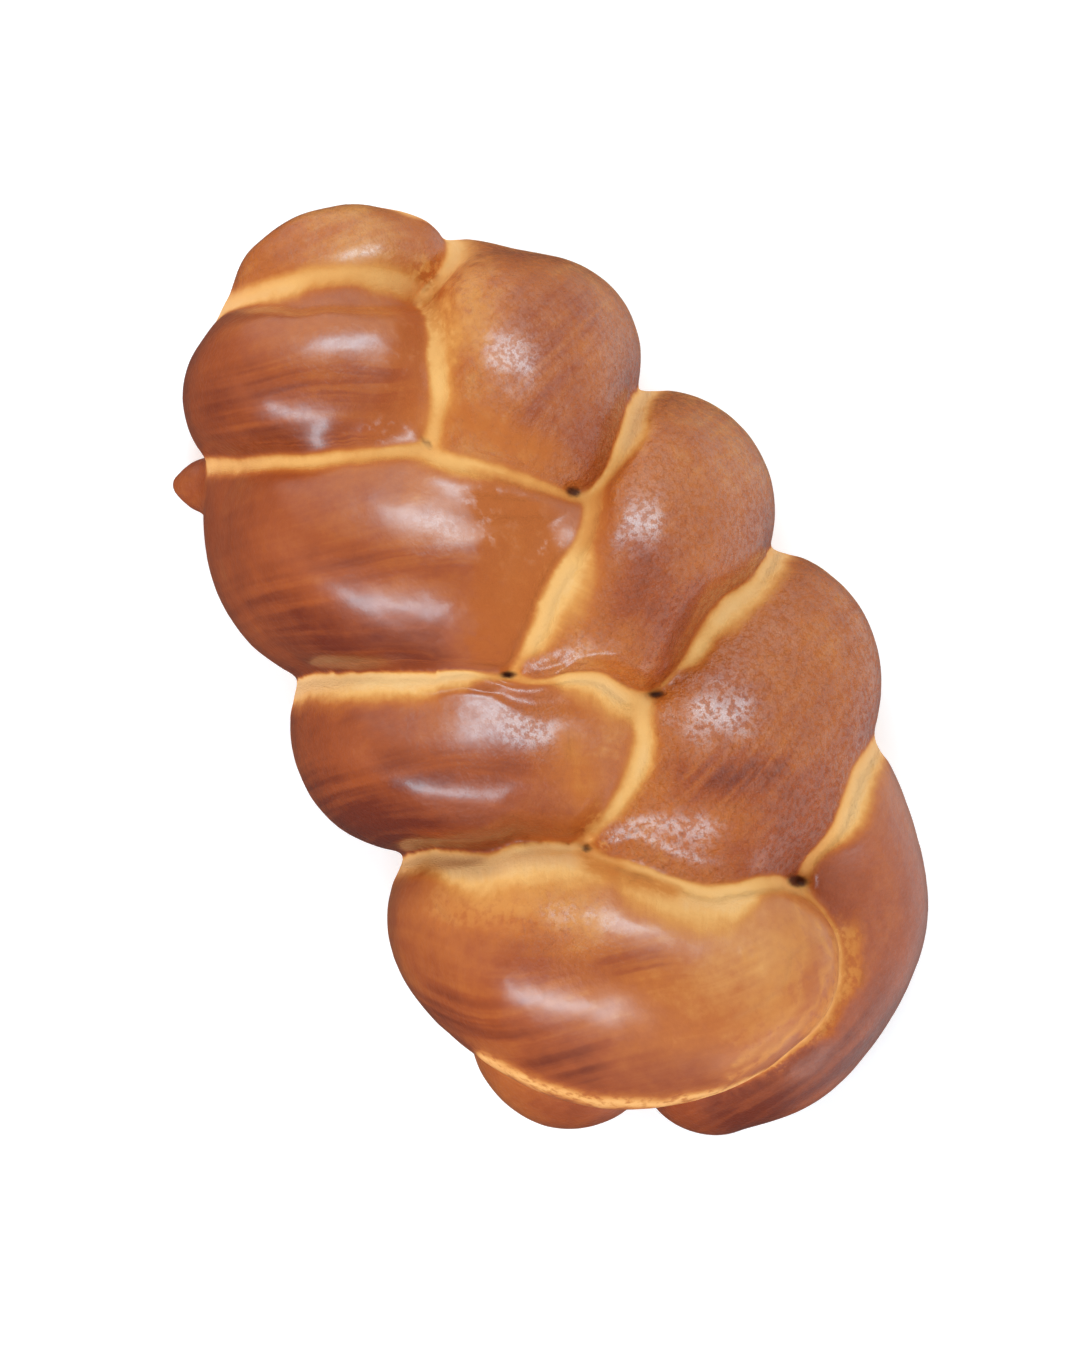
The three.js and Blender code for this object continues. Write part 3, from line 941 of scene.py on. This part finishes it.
class Wiring:
    """Adds nodes to one material and joins them, left to right."""

    def __init__(self, material):
        material.use_nodes = True
        self.tree = material.node_tree
        self.tree.nodes.clear()

    def add(self, kind, inputs=None, **settings):
        """One node, with each input either joined to another node or set to a value."""
        node = self.tree.nodes.new(kind)
        for name, value in settings.items():
            setattr(node, name, value)
        for key, value in (inputs or {}).items():
            if isinstance(value, bpy.types.NodeSocket):
                self.tree.links.new(value, node.inputs[key])
            else:
                node.inputs[key].default_value = value
        return node

    def kept(self, name):
        """A value kept on the skin."""
        return self.add("ShaderNodeAttribute", attribute_name=name).outputs["Fac"]

    def math(self, first, second, operation="ADD", third=None):
        """A sum, product or other reckoning of two or three values."""
        inputs = {0: first, 1: second} if third is None else {0: first, 1: second, 2: third}
        return self.add("ShaderNodeMath", inputs, operation=operation).outputs[0]

    def ramp(self, value, low, high, to_low=0.0, to_high=1.0):
        """value from low..high to to_low..to_high with soft ends."""
        inputs = {"Value": value, 1: low, 2: high, 3: to_low, 4: to_high}
        return self.add("ShaderNodeMapRange", inputs, interpolation_type="SMOOTHSTEP").outputs["Result"]

    def noise(self, where, size, detail=2.0, roughness=0.55):
        """Noise from 0 to 1 with lumps about size metres across."""
        inputs = {"Vector": where, "Scale": 1 / size, "Detail": detail, "Roughness": roughness}
        return self.add("ShaderNodeTexNoise", inputs).outputs["Fac"]

    def mix(self, share, first, second):
        """first where share is 0 and second where it is 1."""
        return self.add("ShaderNodeMix", {0: share, 2: first, 3: second}).outputs[0]

    def mix_colours(self, share, first, second):
        return self.add("ShaderNodeMix", {0: share, 6: first, 7: second}, data_type="RGBA").outputs[2]


# %% The crust's browning
BLOTCH_SIZE, FRECKLE_SIZE = 13 * MM, 2.6 * MM
STREAK_STRETCH = (0.035, 0.42, 1.0)  # long along the strand and narrow across it
BLOTCH_SHARE, FRECKLE_SHARE, STREAK_SHARE = 0.34, 0.16, 0.22
crust = bpy.data.materials.new("baked_crust")
wires = Wiring(crust)
place = wires.add("ShaderNodeTexCoord").outputs["Object"]
browning_and_shade, stripe_at, torn_at = (wires.kept(name) for name in ("browning_and_shade", "stripe", "torn"))
blotches = wires.noise(place, BLOTCH_SIZE, 3)
freckles = wires.noise(place, FRECKLE_SIZE, 3, 0.65)
grain_at = wires.add("ShaderNodeAttribute", attribute_name="grain").outputs["Vector"]
stretched = wires.add("ShaderNodeMapping", {"Vector": grain_at, "Scale": STREAK_STRETCH}).outputs[0]
streaks = wires.add("ShaderNodeTexNoise", {"Vector": stretched, "Scale": 1.0, "Detail": 3.0}).outputs["Fac"]
streaks = wires.mix(wires.kept("seam"), streaks, 0.5)
shade = wires.math(blotches, BLOTCH_SHARE, "MULTIPLY_ADD", browning_and_shade)
shade = wires.math(freckles, FRECKLE_SHARE, "MULTIPLY_ADD", shade)
shade = wires.math(streaks, STREAK_SHARE, "MULTIPLY_ADD", shade)
shade = wires.math(shade, (BLOTCH_SHARE + FRECKLE_SHARE + STREAK_SHARE) / 2, "SUBTRACT")
print("browning moved by blotches, freckles and streaks")

# %% Stripes and marks
FRAY_SIZE, FLECK_SIZE = 5 * MM, 2.4 * MM
FRAY_DEPTH = 0.5
FIBRE_STRETCH = (0.75, 0.16, 1.0)  # short along the stripe and long across it
FIBRE_MIDDLE, FIBRE_SHARE, TORN_SHADE, BAKED_DARKENING = 0.45, 0.14, 0.16, 0.5
# Ramps: where one starts and ends, and what it gives there if that isn't 0 and 1.
EGG_EDGE, TORN_OPEN = (0.66, 1.55), (0.44, 0.62)
FOLD_PAINTED_SHADE, EDGE_SHADING = (0.0, 0.35, 0.2, 0.04), (0.4, 1.15, 0.0, 0.26)
PATCHY, STREAKY = (0.3, 0.55, 0.6, 1.0), (0.35, 0.6, 0.3, 1.0)
fray = wires.noise(place, FRAY_SIZE, 4, 0.55)
frayed_stripe = wires.math(wires.math(fray, 0.5, "SUBTRACT"), FRAY_DEPTH, "MULTIPLY_ADD", stripe_at)
egg_washed = wires.ramp(frayed_stripe, *EGG_EDGE)
fibres_at = wires.add("ShaderNodeAttribute", attribute_name="fibres").outputs["Vector"]
drawn_out = wires.add("ShaderNodeMapping", {"Vector": fibres_at, "Scale": FIBRE_STRETCH}).outputs[0]
fibres = wires.add("ShaderNodeTexNoise", {"Vector": drawn_out, "Scale": 1.0, "Detail": 2.0}).outputs["Fac"]
fibres = wires.mix(wires.kept("seam"), fibres, 0.5)
# Painted shade: the stripe is darkened at the very bottom of its furrow, deepening the orange of the fold as the
# crease's shadow.
fold_painted_shade = wires.ramp(frayed_stripe, *FOLD_PAINTED_SHADE)
edge_shade = wires.ramp(frayed_stripe, *EDGE_SHADING)
bare_shade = wires.math(wires.math(fold_painted_shade, edge_shade), wires.kept("stripe_shade"))
bare_shade = wires.math(wires.math(fibres, FIBRE_MIDDLE, "SUBTRACT"), FIBRE_SHARE, "MULTIPLY_ADD", bare_shade)
shade = wires.mix(egg_washed, bare_shade, shade)
torn_flecks = wires.noise(place, FLECK_SIZE, 3, 0.6)
torn_bare = wires.math(wires.ramp(torn_flecks, *TORN_OPEN), torn_at, "MULTIPLY")
shade = wires.mix(torn_bare, shade, TORN_SHADE)
patchy = wires.ramp(torn_flecks, *PATCHY)
# The bare marks include the painted sheen of broad reflections on the knob and on turns 2 and 7.
marked_bare_and_sheen = wires.math(wires.kept("bare"), patchy, "MULTIPLY")
shade = wires.mix(marked_bare_and_sheen, shade, wires.kept("bare_shade"))
baked_streaks = wires.math(wires.kept("baked"), wires.ramp(streaks, *STREAKY), "MULTIPLY")
shade = wires.math(baked_streaks, BAKED_DARKENING, "MULTIPLY_ADD", shade)
print("stripes, torn places and marks laid over it")

# %% From shade to colour
BAKED_COLOURS = [
    (0.00, srgb(240, 184, 125)),
    (0.16, srgb(236, 166, 93)),
    (0.32, srgb(215, 134, 60)),
    (0.50, srgb(189, 95, 29)),
    (0.70, srgb(163, 69, 18)),
    (1.00, srgb(116, 38, 10)),
]
bake_ramp = wires.add("ShaderNodeValToRGB", {"Fac": shade})
while len(bake_ramp.color_ramp.elements) < len(BAKED_COLOURS):
    bake_ramp.color_ramp.elements.new(0.5)
for stop, (position, colour) in zip(bake_ramp.color_ramp.elements, BAKED_COLOURS):
    stop.position, stop.color = position, colour
crust_colour = bake_ramp.outputs["Color"]
print("colour ramp stops:", len(BAKED_COLOURS))

# %% [markdown]
# ## Shine and fine relief
# Egg wash bakes into a thin glossy coat over a duller crust, which is what a coat layer on a plain shader is
# for. It is missing on the stripes, the bare marks, the pits and the underside. Where the wash is grainy, small
# gaps in the coat break up the highlights. A fine bump adds what is too small for the net: grainy glaze, shallow
# dimples, open crumb and the fibres of the stripes.

# %% Painted shade in the pits, underside and shine
BOTTOM_SIZE, SPECKLE_SIZE = 9 * MM, 1.5 * MM
COAT_GAPS, TORN_DULLNESS = 0.75, 0.5
DULL, GLAZED = 0.7, 0.46  # roughness under a bare and under a glazed place
FRECKLE_ROUGHNESS = 0.12
PIT_SHADE_DEPTHS = (0.3, 2.6)  # millimetres deep
BOTTOM_PATCHES, SPECKLES, MARK_DULLS = (0.3, 0.7), (0.42, 0.56), (0.0, 0.8, 1.0, 0.0)
PIT_SHADE_COLOUR, LIGHT_BOTTOM, DARK_BOTTOM = srgb(96, 42, 12), srgb(176, 112, 62), srgb(140, 78, 38)
# The deeper a pit, the darker its colour: painted shade in the hole, on top of the shade the hole really casts.
pit_painted_shade = wires.ramp(wires.kept("pit"), *PIT_SHADE_DEPTHS)
crust_colour = wires.mix_colours(pit_painted_shade, crust_colour, PIT_SHADE_COLOUR)
underside = wires.kept("underside")
bottom_shade = wires.ramp(wires.noise(place, BOTTOM_SIZE, 4), *BOTTOM_PATCHES)
bottom_colour = wires.mix_colours(bottom_shade, LIGHT_BOTTOM, DARK_BOTTOM)
crust_colour = wires.mix_colours(underside, crust_colour, bottom_colour)
glazed = wires.math(egg_washed, wires.math(1.0, wires.math(underside, pit_painted_shade, "MAXIMUM"), "SUBTRACT"), "MULTIPLY")
glazed = wires.math(glazed, wires.ramp(marked_bare_and_sheen, *MARK_DULLS), "MULTIPLY")
smoothness = wires.math(glazed, wires.math(torn_at, TORN_DULLNESS, "MULTIPLY"), "SUBTRACT")
roughness = wires.math(wires.ramp(smoothness, 0, 1, DULL, GLAZED), FRECKLE_ROUGHNESS / 2, "SUBTRACT")
roughness = wires.math(freckles, FRECKLE_ROUGHNESS, "MULTIPLY_ADD", roughness)
speckle = wires.ramp(wires.noise(place, SPECKLE_SIZE, 2, 0.7), *SPECKLES, COAT_GAPS, 0.0)
gloss = wires.math(wires.math(speckle, wires.kept("peel"), "MULTIPLY"), -1.0, "MULTIPLY_ADD", 1.0)
gloss = wires.math(glazed, gloss, "MULTIPLY")
print("coat on the glazed crust, with gaps up to", COAT_GAPS)

# %% Fine relief
PEEL_RELIEF, DIMPLE_RELIEF, CRUMB_RELIEF, FIBRE_RELIEF = 10.0, 1.6, 1.4, 1.6
PEEL_SIZE, DIMPLE_SIZE, CRUMB_SIZE = 1.6 * MM, 4.5 * MM, 0.9 * MM
RELIEF_DEPTH = 0.13 * MM
unglazed = wires.math(1.0, glazed, "SUBTRACT")
peel_grain = wires.noise(place, PEEL_SIZE, 2, 0.6)
peel_height = wires.math(peel_grain, wires.math(wires.kept("peel"), glazed, "MULTIPLY"), "MULTIPLY")
dimples = wires.noise(place, DIMPLE_SIZE, 2)
crumb_grain = wires.noise(place, CRUMB_SIZE, 3, 0.7)
crumb_height = wires.math(crumb_grain, unglazed, "MULTIPLY")
relief = wires.math(peel_height, PEEL_RELIEF, "MULTIPLY_ADD", wires.math(dimples, DIMPLE_RELIEF, "MULTIPLY"))
relief = wires.math(crumb_height, CRUMB_RELIEF, "MULTIPLY_ADD", relief)
relief = wires.math(wires.math(fibres, unglazed, "MULTIPLY"), FIBRE_RELIEF, "MULTIPLY_ADD", relief)
print("relief up to", RELIEF_DEPTH / MM, "mm deep")

# %% Put the crust on the loaf
bump = wires.add("ShaderNodeBump", {"Height": relief, "Strength": 1.0, "Distance": RELIEF_DEPTH})
shader = wires.add(
    "ShaderNodeBsdfPrincipled",
    {
        "Base Color": crust_colour,
        "Roughness": roughness,
        "Specular IOR Level": 0.35,
        "Normal": bump.outputs["Normal"],
        "Coat Weight": gloss,
        "Coat Roughness": 0.26,
        "Coat IOR": 1.6,
    },
)
wires.add("ShaderNodeOutputMaterial", {"Surface": shader.outputs[0]})
loaf.data.materials.clear()
loaf.data.materials.append(crust)
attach(loaf, "root")
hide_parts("loaf")
print("material", crust.name, "has", len(crust.node_tree.nodes), "nodes")

# %% [markdown]
# ## The table and the camera
# The loaf lies on a plain white table that glows a little, so that it stays white. The camera looks straight
# down with a long lens, which keeps the loaf free of perspective, and it is turned so that the knob points away.

# %% The table
TABLE_SIDE = 6.0
TABLE_WHITE, TABLE_GLOW = (0.85, 0.85, 0.85, 1), 0.35
table_mesh = bmesh.new()
bmesh.ops.create_grid(table_mesh, x_segments=1, y_segments=1, size=TABLE_SIDE / 2)
table_data = bpy.data.meshes.new("table_top")
table_mesh.to_mesh(table_data)
table_mesh.free()
table = bpy.data.objects.new("table_top", table_data)
bpy.context.scene.collection.objects.link(table)
white = bpy.data.materials.new("white_table")
table_wires = Wiring(white)
table_colour = table_wires.add("ShaderNodeBsdfDiffuse", {"Color": TABLE_WHITE})
table_glow = table_wires.add("ShaderNodeEmission", {"Color": (1, 1, 1, 1), "Strength": TABLE_GLOW})
table_finish = table_wires.add("ShaderNodeAddShader", {0: table_colour.outputs[0], 1: table_glow.outputs[0]})
table_wires.add("ShaderNodeOutputMaterial", {"Surface": table_finish.outputs[0]})
table_data.materials.append(white)
table.visible_glossy = False
print("table", TABLE_SIDE, "m wide")

# %% The camera straight above
VIEW_TURN = math.radians(62)
VIEW_MIDDLE = Vector((0.9, -6.1, 27)) * MM
VIEW_HEIGHT_SPAN = 318.2 * MM
CAMERA_DISTANCE = 2.0
LONG_SIDE = 36.0
camera_data = bpy.data.cameras.new("camera")
camera_data.lens = LONG_SIDE * CAMERA_DISTANCE / VIEW_HEIGHT_SPAN
camera = bpy.data.objects.new("camera", camera_data)
camera.location = VIEW_MIDDLE + Vector((0, 0, CAMERA_DISTANCE))
camera.rotation_euler = (0, 0, VIEW_TURN)
bpy.context.scene.collection.objects.link(camera)
bpy.context.scene.camera = camera
view_right = Vector((math.cos(VIEW_TURN), math.sin(VIEW_TURN), 0))
view_up = Vector((-math.sin(VIEW_TURN), math.cos(VIEW_TURN), 0))
print("camera", round(CAMERA_DISTANCE, 2), "m above, lens", round(camera_data.lens), "mm")

# %% [markdown]
# ## The light
# A glossy crust shows every lamp on every turn, so only two soft boxes may be seen in it: one beyond the knob
# end and one at the near side. They give each turn its two long highlights. A low panel adds a glint at the
# right edge, two wide fills brighten the dough without showing in the glaze, and a pale room with one big
# window, brighter on the right, lifts the edges of the turns.

# %% Soft lights
# Name, clock direction in degrees from the top of the view, tilt from overhead, distance, width, height, watts,
# colour, and whether the glaze shows it.
COOL, NEUTRAL = (0.55, 0.85, 1.0), (1.0, 1.0, 1.0)
LIGHTS = [
    ("far_softbox", 14, 34, 1.1, 0.75, 0.24, 7.2, COOL, True),
    ("near_softbox", -147, 36, 1.1, 0.85, 0.2, 6.0, COOL, True),
    ("low_right_panel", 142, 75, 1.3, 0.7, 0.5, 1.2, NEUTRAL, True),
    ("left_fill", -92, 72, 1.6, 1.6, 1.0, 15.0, NEUTRAL, False),
    ("near_fill", 176, 70, 1.6, 1.6, 1.0, 11.5, NEUTRAL, False),
]
for name, clock, tilt, distance, width, height, watts, colour, in_gloss in LIGHTS:
    light_data = bpy.data.lights.new(name, "AREA")
    light_data.shape, light_data.size, light_data.size_y = "RECTANGLE", width, height
    light_data.energy = watts
    light_data.color = colour
    light = bpy.data.objects.new(name, light_data)
    level = view_up * math.cos(math.radians(clock)) + view_right * math.sin(math.radians(clock))
    toward = level * math.sin(math.radians(tilt)) + Vector((0, 0, math.cos(math.radians(tilt))))
    across = (view_right - toward * view_right.dot(toward)).normalized()
    light.matrix_world = Matrix((across, toward.cross(across), toward)).transposed().to_4x4()
    light.location = VIEW_MIDDLE + toward * distance
    light.visible_glossy = in_gloss
    bpy.context.scene.collection.objects.link(light)

print(len(LIGHTS), "lights")

# %% The pale room
# Share of full brightness overhead and on the left, and on the right; then where the big window is, how far
# from its middle it starts to fade, and how bright it is.
ROOM_LEFT, ROOM_RIGHT = 0.05, 0.8
ROOM_BRIGHTENS = (0.1, 0.9)
WINDOW_CLOCK, WINDOW_TILT = math.radians(-14), math.radians(68)
WINDOW_NARROW, WINDOW_WIDE = 0.55, 0.93
WINDOW_GLOW = 0.85
room = bpy.data.worlds.new("pale_room")
room_wires = Wiring(room)
look = room_wires.add("ShaderNodeTexCoord").outputs["Generated"]
window_level = view_up * math.cos(WINDOW_CLOCK) + view_right * math.sin(WINDOW_CLOCK)
window = window_level * math.sin(WINDOW_TILT) + Vector((0, 0, math.cos(WINDOW_TILT)))


def facing(direction):
    """1 where one looks along the direction, 0 across it and -1 away from it."""
    node = room_wires.add("ShaderNodeVectorMath", {0: look, 1: tuple(direction)}, operation="DOT_PRODUCT")
    return node.outputs["Value"]


walls = room_wires.ramp(facing(view_right), *ROOM_BRIGHTENS, ROOM_LEFT, ROOM_RIGHT)
window_light = room_wires.ramp(facing(window), WINDOW_NARROW, WINDOW_WIDE, 0, WINDOW_GLOW)
seen = room_wires.add("ShaderNodeLightPath").outputs["Is Camera Ray"]
glow = room_wires.mix(seen, room_wires.math(walls, window_light), 1.0)
walls_finish = room_wires.add("ShaderNodeBackground", {"Color": (1, 1, 1, 1), "Strength": glow})
room_wires.add("ShaderNodeOutputWorld", {"Surface": walls_finish.outputs[0]})
bpy.context.scene.world = room
bpy.context.scene.view_settings.view_transform = "Standard"
print("room", ROOM_LEFT, "to", ROOM_RIGHT, "bright, window", WINDOW_GLOW)
